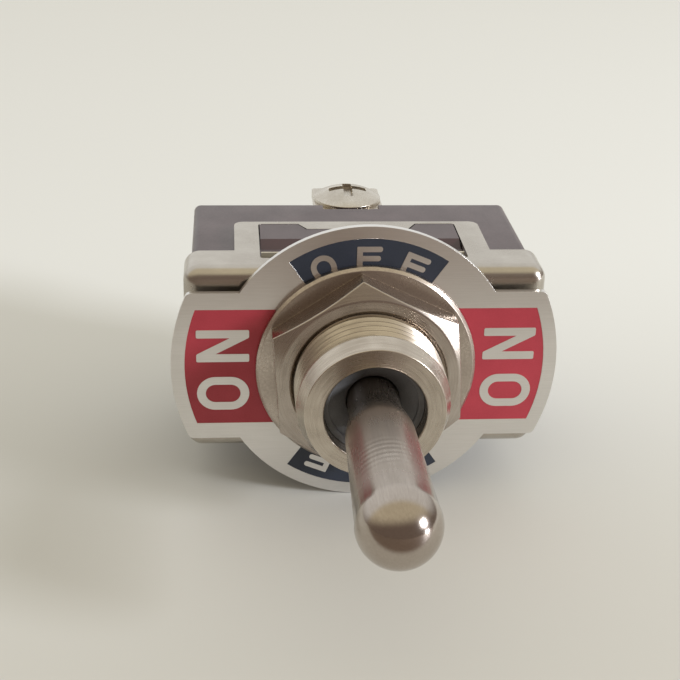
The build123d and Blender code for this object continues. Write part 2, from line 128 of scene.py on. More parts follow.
@dataclass(frozen=True)
class Finish:
    """One surface of the real switch: what it is made of and how it was made.

    The marks are a fine noise whose coordinates are stretched along the grain, and the mottle
    is a slow one that shifts colour and gloss over several millimetres. Between the two Ys of
    satin_mm the surface gets rougher by satin_rough.
    """

    name: str
    slot: str
    light: str
    dark: str
    metallic: float
    gloss_rough: float
    dull_rough: float
    grain: Grain
    mark_mm: float
    mottle_mm: float
    bump_mm: float = 0.004
    ior: float = 1.5
    coat: float = 0.0
    coat_rough: float = 0.15
    mottle_share: float = 0.5
    satin_mm: Optional[Point2] = None
    satin_rough: float = 0.0

    def material(self) -> bpy.types.Material:
        """Returns the finish's material, which is built the first time it is asked for."""
        return bpy.data.materials.get(self.name) or self._build()

    def _build(self) -> bpy.types.Material:
        """Builds the shader tree.

        Returns:
            The new material.
        """
        made = bpy.data.materials.new(self.name)
        made.use_nodes = True
        tree = made.node_tree
        shader = tree.nodes["Principled BSDF"]
        place = add_node(tree, "ShaderNodeTexCoord").outputs["Object"]
        marks = add_node(tree, "ShaderNodeTexNoise", {"noise_dimensions": "3D"},
                         {"Vector": self._along_grain(tree, place), "Scale": 1.0, "Detail": 3.0,
                          "Roughness": 0.6}).outputs["Fac"]
        mottle = add_node(tree, "ShaderNodeTexNoise", {"noise_dimensions": "3D"},
                          {"Vector": place, "Scale": 1 / (self.mottle_mm * MM), "Detail": 2.0,
                           "Roughness": 0.5}).outputs["Fac"]
        both = add_node(tree, "ShaderNodeMix", {"data_type": "FLOAT"},
                        {0: self.mottle_share, 2: marks, 3: mottle}).outputs[0]
        low, high = 0.33, 0.67      # between these lies nearly all of a noise
        spread = add_node(tree, "ShaderNodeMapRange", {"clamp": True},
                          {"Value": both, "From Min": low, "From Max": high}).outputs["Result"]
        colour = add_node(tree, "ShaderNodeMix", {"data_type": "RGBA"},
                          {0: spread, 6: srgb(self.dark), 7: srgb(self.light)}).outputs[2]
        rough = add_node(tree, "ShaderNodeMapRange", {},
                         {"Value": spread, "To Min": self.dull_rough, "To Max": self.gloss_rough})
        rough = rough.outputs["Result"]
        if self.satin_mm:
            along = add_node(tree, "ShaderNodeSeparateXYZ", {}, {0: place}).outputs["Y"]
            shiny, satin = (y * MM for y in self.satin_mm)
            worn = add_node(tree, "ShaderNodeMapRange", {"interpolation_type": "SMOOTHSTEP"},
                            {"Value": along, "From Min": shiny, "From Max": satin, "To Min": 0.0,
                             "To Max": self.satin_rough}).outputs["Result"]
            rough = add_node(tree, "ShaderNodeMath", {"operation": "ADD"},
                             {0: rough, 1: worn}).outputs[0]
        bump = add_node(tree, "ShaderNodeBump", {},
                        {"Height": marks, "Distance": self.bump_mm * MM, "Strength": 1.0})
        tree.links.new(colour, shader.inputs["Base Color"])
        tree.links.new(rough, shader.inputs["Roughness"])
        tree.links.new(bump.outputs["Normal"], shader.inputs["Normal"])
        shader.inputs["Metallic"].default_value = self.metallic
        if self.metallic < 0.5:
            shader.inputs["IOR"].default_value = self.ior
        if self.coat:
            shader.inputs["Coat Weight"].default_value = self.coat
            shader.inputs["Coat Roughness"].default_value = self.coat_rough
        return made

    def _along_grain(self, tree: bpy.types.NodeTree,
                     place: bpy.types.NodeSocket) -> bpy.types.NodeSocket:
        """Stretches the coordinates so that the marks run along the grain.

        Args:
            tree: The material's tree.
            place: The piece's own coordinates, in metres.

        Returns:
            Coordinates in which one unit is one mark.
        """
        fine = 1 / (self.mark_mm * MM)
        if self.grain is Grain.TURNED:
            round_share = 0.04
            across = add_node(tree, "ShaderNodeVectorMath", {"operation": "MULTIPLY"},
                              {0: place, 1: (1.0, 0.0, 1.0)}).outputs[0]
            radius = add_node(tree, "ShaderNodeVectorMath", {"operation": "LENGTH"},
                              {0: across}).outputs["Value"]
            along = add_node(tree, "ShaderNodeSeparateXYZ", {}, {0: place}).outputs["Y"]
            rings = add_node(tree, "ShaderNodeCombineXYZ", {},
                             {"X": radius, "Y": along, "Z": 0.0}).outputs[0]
            rings = add_node(tree, "ShaderNodeVectorMath", {"operation": "SCALE"},
                             {0: rings, "Scale": fine}).outputs[0]
            drift = add_node(tree, "ShaderNodeVectorMath", {"operation": "SCALE"},
                             {0: across, "Scale": round_share * fine}).outputs[0]
            return add_node(tree, "ShaderNodeVectorMath", {"operation": "ADD"},
                            {0: rings, 1: drift}).outputs[0]
        shares = {Grain.EVEN: (1.0, 1.0, 1.0), Grain.ROLLED: (0.03, 1.0, 1.0),
                  Grain.DRAWN: (1.0, 0.06, 1.0)}[self.grain]     # a small share makes long marks
        return add_node(tree, "ShaderNodeVectorMath", {"operation": "MULTIPLY"},
                        {0: place, 1: tuple(share * fine for share in shares)}).outputs[0]


# Phenolic moulding, dark maroon: slightly hazy, with a fine flour grain, so it greys in flat light
BAKELITE = Finish("phenolic_moulding_maroon", "bakelite", "412327", "30171b",
                  0.0, 0.34, 0.46, Grain.EVEN, 0.12, 3.0, 0.004, 1.6, coat=0.3)
# Nickel plate on deep-drawn steel: bright but wavy, a little dull where the sheet was stretched
COVER_NICKEL = Finish("nickel_plate_on_drawn_steel", "nickel_cover", "c3bdb4", "b3aca3",
                      1.0, 0.2, 0.3, Grain.EVEN, 0.3, 3.2, 0.0012, mottle_share=0.8)
# Nickel plate on turned brass: warm, with tool rings finer than the thread
BUSHING_NICKEL = Finish("nickel_plate_on_turned_brass", "nickel_bushing", "d2c9bd", "aea498",
                        1.0, 0.2, 0.33, Grain.TURNED, 0.09, 2.2, 0.002)
# Nickel plate on a milled nut: as the bushing, with the bar's turned face
NUT_NICKEL = Finish("nickel_plate_on_nut", "nickel_nut", "c3bab1", "a59b91",
                    1.0, 0.2, 0.32, Grain.TURNED, 0.12, 2.8, 0.002)
# Nickel plate on a stamped washer: a flatter gloss, from tumbling
WASHER_NICKEL = Finish("nickel_plate_on_washer", "nickel_washer", "c9bfb5", "a79c92",
                       1.0, 0.24, 0.36, Grain.EVEN, 0.2, 3.5, 0.003)
# Nickel plate on a barrel-polished bat: a glossy tip, a shaft worn satin, faint lines along it
LEVER_NICKEL = Finish("nickel_plate_on_polished_bat", "nickel_lever", "b9b0a8", "a99f96",
                      1.0, 0.12, 0.17, Grain.DRAWN, 0.16, 3.0, 0.0004,
                      satin_mm=(-24.5, -21.0), satin_rough=0.14)
# Nickel plate on cold-headed steel screws and their pressed washers: pale, tumbled
SCREW_NICKEL = Finish("nickel_plate_on_screws", "nickel_screw", "d8d2c8", "bab2a6",
                      1.0, 0.2, 0.34, Grain.EVEN, 0.15, 1.6, 0.003)
# Nickel plate on stamped brass strip: thin, so that the brass warms it
TERMINAL_NICKEL = Finish("nickel_plate_on_brass_strip", "nickel_terminal", "d8ceba", "b4a58a",
                         1.0, 0.24, 0.36, Grain.EVEN, 0.2, 2.4, 0.003)
# Rolled white-metal sheet, satin: fine lines along X soften what it mirrors
PLATE_METAL = Finish("satin_rolled_plate", "plate_metal", "e8e6e4", "dcdad7",
                     1.0, 0.28, 0.34, Grain.ROLLED, 0.1, 5.0, 0.001)
# Stoved enamel, red: smooth, with a soft gloss
RED_ENAMEL = Finish("stoved_enamel_red", "red_enamel", "b63c4a", "a83442",
                    0.0, 0.38, 0.5, Grain.EVEN, 0.1, 2.0, 0.002)
# Stoved enamel, blue-black: smooth, with a soft gloss
BLACK_ENAMEL = Finish("stoved_enamel_blue_black", "black_enamel", "2f3644", "272e3b",
                      0.0, 0.4, 0.5, Grain.EVEN, 0.1, 2.0, 0.002)
# Moulded rubber of the dust seal: matt, dark and slightly bloomed
SEAL_RUBBER = Finish("moulded_rubber", "black_seal", "6c6d6f", "565759",
                     0.0, 0.5, 0.62, Grain.EVEN, 0.1, 1.5, 0.004)
# Vulcanised fibre sheet: pale, matt and fibrous
FIBRE = Finish("vulcanised_fibre", "fibre", "d9d4c6", "c4bdab",
               0.0, 0.6, 0.72, Grain.ROLLED, 0.1, 2.0)
# Ground steel pin: bare, fine and even
PIN_STEEL = Finish("ground_steel", "pin_steel", "b9b9b6", "8f908e",
                   1.0, 0.2, 0.32, Grain.EVEN, 0.1, 1.5)
# Drawn spring wire: bare steel, grey with a soft sheen
SPRING_STEEL = Finish("drawn_spring_wire", "spring_steel", "9fa0a0", "77797a",
                      1.0, 0.25, 0.4, Grain.EVEN, 0.1, 1.0)
# Acetal of the plunger: white and waxy
ACETAL = Finish("acetal_moulding", "white_acetal", "e4e2db", "d5d2c9",
                0.0, 0.4, 0.5, Grain.EVEN, 0.15, 2.0, 0.003, 1.48)
# Stamped brass of the rocker and its saddle: bare, dulled by handling
BRASS = Finish("stamped_brass", "contact_brass", "cba65c", "a98746",
               1.0, 0.24, 0.4, Grain.EVEN, 0.15, 2.0)
# Silver contact face: lightly tarnished
SILVER = Finish("contact_silver", "silver_contact", "dad8d2", "b0aba0",
                1.0, 0.2, 0.38, Grain.EVEN, 0.12, 1.2)


@dataclass(frozen=True)
class PaperOnTable:
    """Pale matt paper, made warmer and dimmer near its front edge by painted shade, and the brown
    table beyond it.
    """

    far: str = "e6e8e7"
    # near is the paper's colour with painted shade in it, so it is warmer and dimmer than far
    near: str = "cbcac4"
    table: str = "84746a"
    # painted shade: along Y the paper goes from near at the first value to far at the second
    painted_shade_mm: Point2 = (-40.0, 60.0)
    edge_mm: Point2 = (-48.0, -36.0)
    fibre_mm: float = 1.2
    paper_rough: Point2 = (0.95, 0.8)
    varnish_rough: float = 0.55

    def material(self) -> bpy.types.Material:
        """Builds the shader tree.

        Returns:
            The new material.
        """
        made = bpy.data.materials.new("paper_on_table")
        made.use_nodes = True
        tree = made.node_tree
        shader = tree.nodes["Principled BSDF"]
        place = add_node(tree, "ShaderNodeTexCoord").outputs["Object"]
        depth = add_node(tree, "ShaderNodeSeparateXYZ", {}, {0: place}).outputs["Y"]
        painted_shade, edge = (
            add_node(tree, "ShaderNodeMapRange", {"interpolation_type": "SMOOTHSTEP"},
                     {"Value": depth, "From Min": low * MM, "From Max": high * MM}).outputs[0]
            for low, high in (self.painted_shade_mm, self.edge_mm))
        fibres = add_node(tree, "ShaderNodeTexNoise", {"noise_dimensions": "3D"},
                          {"Vector": place, "Scale": 1 / (self.fibre_mm * MM), "Detail": 3.0})
        dull = add_node(tree, "ShaderNodeMapRange", {},
                        {"Value": fibres.outputs["Fac"], "To Min": self.paper_rough[0],
                         "To Max": self.paper_rough[1]})
        rough = add_node(tree, "ShaderNodeMix", {"data_type": "FLOAT"},
                         {0: edge, 2: self.varnish_rough, 3: dull.outputs["Result"]})
        # painted shade: the paper darkens and warms towards its near edge
        paper = add_node(tree, "ShaderNodeMix", {"data_type": "RGBA"},
                         {0: painted_shade, 6: srgb(self.near), 7: srgb(self.far)}).outputs[2]
        colour = add_node(tree, "ShaderNodeMix", {"data_type": "RGBA"},
                          {0: edge, 6: srgb(self.table), 7: paper}).outputs[2]
        tree.links.new(colour, shader.inputs["Base Color"])
        tree.links.new(rough.outputs[0], shader.inputs["Roughness"])
        return made


def link(mesh: bpy.types.Mesh, name: str) -> bpy.types.Object:
    """Puts a finished mesh in the scene as an object at the origin.

    Args:
        mesh: The mesh, in metres.
        name: The piece's name.

    Returns:
        The object.
    """
    made = bpy.data.objects.new(name, mesh)
    bpy.context.scene.collection.objects.link(made)
    return made


def dress(piece: bpy.types.Object, finish: Finish, body: str, *stands_for: str,
          edge: float = 0.0, sharp: float = 35.0, steps: int = 3) -> bpy.types.Object:
    """Gives a piece its finish, its rounded edges, its body and the nodes that it stands for.

    Args:
        piece: The piece's object.
        finish: Its surface.
        body: The CAD body that it rides on.
        stands_for: The CAD nodes that it replaces.
        edge: Radius of its broken edges, or 0 for none.
        sharp: Angle in degrees past which an edge is one.
        steps: Facets across a broken edge.

    Returns:
        The same piece.
    """
    piece.data.materials.clear()
    piece.data.materials.append(finish.material())
    piece.data.shade_smooth()
    piece.data.set_sharp_from_angle(angle=math.radians(sharp))
    if edge:
        bevel = piece.modifiers.new("broken_edges", "BEVEL")
        bevel.width = edge * MM
        bevel.segments = steps
        bevel.limit_method = "ANGLE"
        bevel.angle_limit = math.radians(sharp)
        bevel.harden_normals = True
        bevel.miter_outer = "MITER_ARC"
    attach(piece, body)
    if stands_for:
        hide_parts(*stands_for)
    log.info("%s: %s on %s", piece.name, finish.name, body)
    return piece


def repaint(node: str, finish: Finish) -> None:
    """Gives its real surface to a CAD node that stays as it is.

    Args:
        node: The node's name.
        finish: Its surface.
    """
    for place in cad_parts[node].material_slots:
        place.material = finish.material()
    log.info("%s: CAD node, %s", node, finish.name)


def lathe(name: str, profile: Sequence[Point2], steps: int) -> bpy.types.Object:
    """Turns a profile about the switch's axis.

    Args:
        name: The piece's name.
        profile: Corners as (radius, y) in order round the section. Where it starts and ends at
            radius 0 the section closes on the axis, and otherwise its last corner joins its first.
        steps: Facets round the axis.

    Returns:
        The piece, with its faces outwards.
    """
    bm = bmesh.new()
    rings: list[list[bmesh.types.BMVert]] = []
    for radius, y in profile:
        turns = [2 * math.pi * i / steps for i in range(steps if radius > 0 else 1)]
        rings.append([bm.verts.new((MM * radius * math.cos(a), MM * y, MM * radius * math.sin(a)))
                      for a in turns])
    pairs = list(zip(rings, rings[1:]))
    if len(rings[0]) > 1:
        pairs.append((rings[-1], rings[0]))
    for first, second in pairs:
        for i in range(steps):
            j = i + 1
            face = dict.fromkeys((first[i % len(first)], first[j % len(first)],
                                  second[j % len(second)], second[i % len(second)]))
            if len(face) > 2:
                bm.faces.new(list(face))
    return link(finished_mesh(bm, name), name)


def refined(node: str, name: str) -> bpy.types.Object:
    """Copies a CAD node as a clean mesh, merged and with its flat faces whole.

    Args:
        node: The node to copy.
        name: The new piece's name.

    Returns:
        The new piece.
    """
    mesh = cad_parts[node].data.copy()
    mesh.name = name
    bm = bmesh.new()
    bm.from_mesh(mesh)
    bmesh.ops.remove_doubles(bm, verts=bm.verts, dist=WELD)
    bmesh.ops.dissolve_limit(bm, angle_limit=FLAT, verts=bm.verts, edges=bm.edges)
    bmesh.ops.recalc_face_normals(bm, faces=bm.faces)
    bm.to_mesh(mesh)
    bm.free()
    if mesh.attributes.get("custom_normal"):
        mesh.attributes.remove(mesh.attributes["custom_normal"])
    return link(mesh, name)


class Recipe:
    """A Geometry Nodes tree with named sizes, run once to make a plain mesh."""

    def __init__(self, name: str, sizes: dict[str, float]) -> None:
        """Starts the tree and its named inputs.

        Args:
            name: The tree's name.
            sizes: Value of each named input, in metres, turns or a count.
        """
        self.sizes = sizes
        self.tree = bpy.data.node_groups.new(name, "GeometryNodeTree")
        sockets = self.tree.interface
        sockets.new_socket("Geometry", in_out="OUTPUT", socket_type="NodeSocketGeometry")
        self.keys: dict[str, str] = {}
        for label, value in sizes.items():
            kind = "NodeSocketInt" if isinstance(value, int) else "NodeSocketFloat"
            made = sockets.new_socket(label, in_out="INPUT", socket_type=kind)
            self.keys[label] = made.identifier
        self.given = self.tree.nodes.new("NodeGroupInput").outputs

    def node(self, kind: str, settings: Optional[dict[str, Any]] = None,
             inputs: Optional[dict[Any, Any]] = None) -> bpy.types.Node:
        """Adds a node to this tree, as add_node does."""
        return add_node(self.tree, kind, settings, inputs)

    def run(self, geometry: bpy.types.NodeSocket, finish: Finish, name: str) -> bpy.types.Object:
        """Ends the tree, runs it and keeps the result.

        Args:
            geometry: What the tree has made.
            finish: The surface that it gets.
            name: The piece's name.

        Returns:
            A piece with a plain mesh.
        """
        real = self.node("GeometryNodeRealizeInstances", {}, {0: geometry}).outputs[0]
        painted = self.node("GeometryNodeSetMaterial", {}, {0: real, "Material": finish.material()})
        self.node("NodeGroupOutput", {}, {0: painted.outputs[0]})
        maker = link(bpy.data.meshes.new(name + "_seed"), name + "_maker")
        modifier = maker.modifiers.new("recipe", "NODES")
        modifier.node_group = self.tree
        for label, value in self.sizes.items():
            modifier[self.keys[label]] = value
        graph = bpy.context.evaluated_depsgraph_get()
        mesh = bpy.data.meshes.new_from_object(maker.evaluated_get(graph), depsgraph=graph)
        mesh.name = name
        maker.modifiers.remove(modifier)
        bpy.data.objects.remove(maker)
        return link(mesh, name)


@dataclass
class ThreadRidge:
    """The helical ridge of a fine thread, which stands on a plain core at its root.

    It fades to a thin line over the first and last fade_turns, and its foot is sunk in the core
    by what lift_share leaves of half its depth.
    """

    root_r: float
    depth: float
    pitch: float
    length: float
    crest: float = 0.08
    steps: int = 96
    fade_turns: float = 0.35
    fade_to: float = 0.02
    lift_share: float = 0.46

    def make(self, name: str, finish: Finish, turn: Matrix) -> bpy.types.Object:
        """Winds the ridge about +Z and then turns it into place.

        Args:
            name: The piece's name.
            finish: Its surface.
            turn: Takes the thread's own axis to where it belongs, in metres.

        Returns:
            The ridge's piece.
        """
        turns = self.length / self.pitch
        recipe = Recipe(name + "_recipe", {
            "Root radius": self.root_r * MM, "Depth": self.depth * MM, "Pitch": self.pitch * MM,
            "Crest": self.crest * MM, "Turns": turns, "Length": self.length * MM,
            "Steps": self.steps})
        given = recipe.given
        spiral = recipe.node("GeometryNodeCurveSpiral", {}, {
            "Resolution": given["Steps"], "Rotations": given["Turns"],
            "Start Radius": given["Root radius"], "End Radius": given["Root radius"],
            "Height": given["Length"]}).outputs[0]
        spiral = recipe.node("GeometryNodeSetCurveNormal", {"mode": "Z_UP"}, {0: spiral}).outputs[0]
        factor = recipe.node("GeometryNodeSplineParameter").outputs["Factor"]
        rest = recipe.node("ShaderNodeMath", {"operation": "SUBTRACT"},
                           {0: 1.0, 1: factor}).outputs[0]
        nearest = recipe.node("ShaderNodeMath", {"operation": "MINIMUM"},
                              {0: factor, 1: rest}).outputs[0]
        fade = recipe.node("ShaderNodeMapRange", {"clamp": True}, {
            "Value": nearest, "From Min": 0.0, "From Max": self.fade_turns / turns,
            "To Min": self.fade_to, "To Max": 1.0}).outputs["Result"]
        spiral = recipe.node("GeometryNodeSetCurveRadius", {},
                             {0: spiral, "Radius": fade}).outputs[0]
        section = recipe.node("GeometryNodeCurvePrimitiveQuadrilateral", {"mode": "TRAPEZOID"}, {
            "Height": given["Depth"], "Bottom Width": given["Pitch"], "Top Width": given["Crest"],
            "Offset": 0.0}).outputs[0]
        lift = recipe.node("ShaderNodeMath", {"operation": "MULTIPLY"},
                           {0: given["Depth"], 1: self.lift_share}).outputs[0]
        lift = recipe.node("ShaderNodeCombineXYZ", {}, {"X": 0.0, "Y": lift, "Z": 0.0}).outputs[0]
        section = recipe.node("GeometryNodeTransform", {},
                              {0: section, "Translation": lift}).outputs[0]
        section = recipe.node("GeometryNodeTransform", {},
                              {0: section, "Rotation": (0.0, 0.0, math.pi / 2)}).outputs[0]
        ridge = recipe.node("GeometryNodeCurveToMesh", {}, {
            "Curve": spiral, "Profile Curve": section, "Fill Caps": True}).outputs[0]
        made = recipe.run(ridge, finish, name)
        made.data.transform(turn)
        bm = bmesh.new()
        bm.from_mesh(made.data)
        bmesh.ops.remove_doubles(bm, verts=bm.verts, dist=WELD)
        bmesh.ops.recalc_face_normals(bm, faces=bm.faces)
        bm.to_mesh(made.data)
        bm.free()
        return made


@dataclass
class Body:
    """The moulded base, the sheet cover that folds round it and the fibre sheet between."""

    base_edge: float = 0.12
    cover_edge: float = 0.07

    def build(self) -> None:
        """Dresses the three pieces."""
        dress(refined("base_moulding", "moulded_base"), BAKELITE, "housing", "base_moulding",
              edge=self.base_edge, sharp=20)
        dress(refined("steel_cover", "folded_cover"), COVER_NICKEL, "housing", "steel_cover",
              edge=self.cover_edge, sharp=40)
        repaint("insulating_sheet", FIBRE)


@dataclass
class Bushing:
    """The threaded bushing with its tapered nose, the dust seal in its mouth and the pivot pin."""

    crest_r: float = 5.95
    root_r: float = 5.56
    pitch: float = 0.79
    nose_face_r: float = 5.38
    height: float = 9.17
    thread_end: float = 7.8
    nut_core_r: float = 5.91
    nut_face: float = 4.2
    bore_r: float = 3.9
    bore_shoulder: float = -2.9
    chamber_r: float = 3.5
    spigot_r: float = 5.2
    flare_r: float = 5.9
    sheet_t: float = 0.45
    flare_t: float = 0.6
    mouth_edge: float = 0.1
    crest_gap: float = 0.04
    land: float = 0.12
    runout: float = 0.4
    nut_lead: Point2 = (0.2, 0.28)
    flare_edge: float = 0.3
    thread_sunk: float = 0.3
    thread_short: float = 0.15
    seal_front: float = -7.87
    sleeve_front: float = -6.4
    sleeve_r: float = 3.62
    fold_r: float = 3.42
    fold_y: float = -7.45
    lip_r: float = 2.12
    lip_y: float = -6.85
    skin: float = 0.12
    bead: float = 0.08
    mouth_beads: tuple[float, float, float] = (0.06, 0.14, 0.2)
    mouth_grip: float = 0.05
    rim_fit: float = 0.02

    def build(self) -> None:
        """Makes the turned core, winds the thread and fits the seal."""
        collar, flared = self.crest_r - self.crest_gap, self.sheet_t + self.flare_t
        core = [
            (self.bore_r + self.mouth_edge, -self.height), (self.nose_face_r, -self.height),
            (collar, -self.thread_end), (collar, -self.thread_end + self.land),
            (self.root_r, -self.thread_end + self.runout),
            (self.root_r, -self.nut_face + self.nut_lead[0]),
            (self.nut_core_r, -self.nut_face + self.nut_lead[1]), (self.nut_core_r, 0.0),
            (self.spigot_r, 0.0), (self.spigot_r, self.sheet_t), (self.flare_r, self.sheet_t),
            (self.flare_r - self.flare_edge, flared), (self.chamber_r, flared),
            (self.chamber_r, self.bore_shoulder), (self.bore_r, self.bore_shoulder),
            (self.bore_r, self.mouth_edge - self.height)]
        dress(lathe("bushing_core", core, 160), BUSHING_NICKEL, "housing", "bushing", edge=0.06,
              sharp=12)
        length = self.thread_end - self.nut_face + self.thread_sunk - self.thread_short
        ridge = ThreadRidge(self.root_r, self.crest_r - self.root_r, self.pitch, length)
        turn = (Matrix.Translation((0, (self.thread_sunk - self.nut_face) * MM, 0))
                @ Matrix.Rotation(math.pi / 2, 4, "X"))
        wound = ridge.make("bushing_thread", BUSHING_NICKEL, turn)
        dress(wound, BUSHING_NICKEL, "housing", sharp=25)
        rim = self.bore_r - self.rim_fit
        sleeve = [(rim, self.sleeve_front), (rim, self.bore_shoulder),
                  (self.sleeve_r, self.bore_shoulder), (self.sleeve_r, self.sleeve_front)]
        dress(lathe("seal_sleeve", sleeve, 96), SEAL_RUBBER, "housing", "dust_seal")
        self._diaphragm()
        repaint("pivot_pin", PIN_STEEL)

    def _diaphragm(self) -> None:
        """Turns the rubber lip, whose rim stays in the bushing."""
        rim, front, fold, lip = self.bore_r - self.rim_fit, self.seal_front, self.fold_y, self.lip_y
        wide, mouth, skin, bead = self.fold_r, self.lip_r, self.skin, self.bead
        tight, (near, middle, far) = mouth - self.mouth_grip, self.mouth_beads
        section = [
            (rim, front), (wide + bead, front), (wide, front + bead), (wide, fold), (mouth, lip),
            (tight, lip + near), (tight, lip + middle), (mouth, lip + far),
            (mouth + skin / 2, lip + skin), (wide + skin / 2, fold + skin), (rim, fold + skin)]
        piece = lathe("seal_diaphragm", section, 96)
        piece.data.materials.append(SEAL_RUBBER.material())
        piece.data.shade_smooth()
        piece.data.set_sharp_from_angle(angle=math.radians(40))
        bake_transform(piece)
        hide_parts("dust_seal")
        log.info("%s: %s from housing to lever", piece.name, SEAL_RUBBER.name)


@dataclass
class FrontHardware:
    """The hexagon nut, the flat washer under it and the toothed lock washer behind the plate.

    The nut's bore is drawn at the thread's crests, so that no gap shows round the thread.
    """

    flats: float = 14.6
    nut_back: float = -1.8
    nut_front: float = -4.2
    bore_r: float = 5.93
    face_r: float = 7.1
    lead_r: float = 6.2
    turn: float = 34.5
    washer_r: float = 8.85
    hole_r: float = 6.05
    plate_front: float = -1.1
    chamfer: float = 0.25
    nut_slope: float = 30.0
    steps_per_flat: int = 16
    lock_front: float = -0.6
    ring_inner_r: float = 7.8
    ring_outer_r: float = 9.2
    tooth_width: float = 1.7
    tooth_thick: float = 0.34
    tooth_twist: float = 8.0
    tooth_sunk: float = 0.05
    teeth: int = 12

    def build(self) -> None:
        """Makes the nut, the flat washer and the lock washer's two pieces."""
        dress(self._nut(), NUT_NICKEL, "housing", "front_nut", edge=0.1, sharp=16)
        rim = [
            (self.hole_r, self.plate_front), (self.hole_r, self.nut_back),
            (self.washer_r - self.chamfer, self.nut_back),
            (self.washer_r, self.nut_back + self.chamfer), (self.washer_r, self.plate_front)]
        dress(lathe("flat_washer", rim, 160), WASHER_NICKEL, "housing", "front_washer", edge=0.06,
              sharp=25)
        ring = [(self.ring_inner_r, self.lock_front), (self.ring_outer_r, self.lock_front),
                (self.ring_outer_r, 0.0), (self.ring_inner_r, 0.0)]
        dress(lathe("lock_ring", ring, 128), WASHER_NICKEL, "housing", "lock_washer", edge=0.05)
        dress(self._teeth(), WASHER_NICKEL, "housing")

    def _teeth(self) -> bpy.types.Object:
        """Sets the lock washer's twisted teeth round its inside.

        Returns:
            All the teeth as one piece.
        """
        root_r = self.ring_inner_r + self.tooth_sunk
        recipe = Recipe("lock_teeth_recipe", {
            "Teeth": self.teeth, "Step": 2 * math.pi / self.teeth,
            "Length": (root_r - self.hole_r) * MM, "Thickness": self.tooth_thick * MM,
            "Width": self.tooth_width * MM, "Middle": (root_r + self.hole_r) / 2 * MM,
            "Depth": self.lock_front / 2 * MM, "Twist": math.radians(self.tooth_twist)})
        given = recipe.given
        size = recipe.node("ShaderNodeCombineXYZ", {}, {
            "X": given["Length"], "Y": given["Thickness"], "Z": given["Width"]}).outputs[0]
        twist = recipe.node("ShaderNodeCombineXYZ", {}, {"X": given["Twist"]}).outputs[0]
        place = recipe.node("ShaderNodeCombineXYZ", {},
                            {"X": given["Middle"], "Y": given["Depth"]}).outputs[0]
        tooth = recipe.node("GeometryNodeMeshCube", {}, {"Size": size}).outputs["Mesh"]
        tooth = recipe.node("GeometryNodeTransform", {},
                            {0: tooth, "Translation": place, "Rotation": twist}).outputs[0]
        spots = recipe.node("GeometryNodePoints", {}, {"Count": given["Teeth"]}).outputs[0]
        number = recipe.node("GeometryNodeInputIndex").outputs[0]
        angle = recipe.node("ShaderNodeMath", {"operation": "MULTIPLY"},
                            {0: number, 1: given["Step"]}).outputs[0]
        turn = recipe.node("ShaderNodeCombineXYZ", {}, {"Y": angle}).outputs[0]
        row = recipe.node("GeometryNodeInstanceOnPoints", {},
                          {"Points": spots, "Instance": tooth, "Rotation": turn}).outputs[0]
        return recipe.run(row, WASHER_NICKEL, "lock_teeth")

    def _nut(self) -> bpy.types.Object:
        """Sections the hexagon through its axis, from corner to corner.

        Returns:
            The nut, bored, with a 30 degree chamfer on its face.
        """
        back, front, lead = self.nut_back, self.nut_front, self.lead_r - self.bore_r
        slope = math.tan(math.radians(self.nut_slope))
        bm = bmesh.new()
        sections = []
        for i in range(6 * self.steps_per_flat):
            angle = 60.0 * i / self.steps_per_flat
            reach = self.flats / 2 / math.cos(math.radians(angle % 60 - 30))
            way = math.radians(angle + self.turn)
            section = [(self.bore_r, back), (self.bore_r, front + lead), (self.lead_r, front),
                       (self.face_r, front), (reach, front + (reach - self.face_r) * slope),
                       (reach, back)]
            sections.append([bm.verts.new((MM * r * math.cos(way), MM * y, MM * r * math.sin(way)))
                             for r, y in section])
        for first, second in zip(sections, sections[1:] + sections[:1]):
            for j in range(len(first)):
                k = (j + 1) % len(first)
                bm.faces.new((first[j], first[k], second[k], second[j]))
        return link(finished_mesh(bm, "hexagon_nut"), "hexagon_nut")


class Glyph(Enum):
    """The capital letters of the legend."""

    O = "O"
    N = "N"
    F = "F"


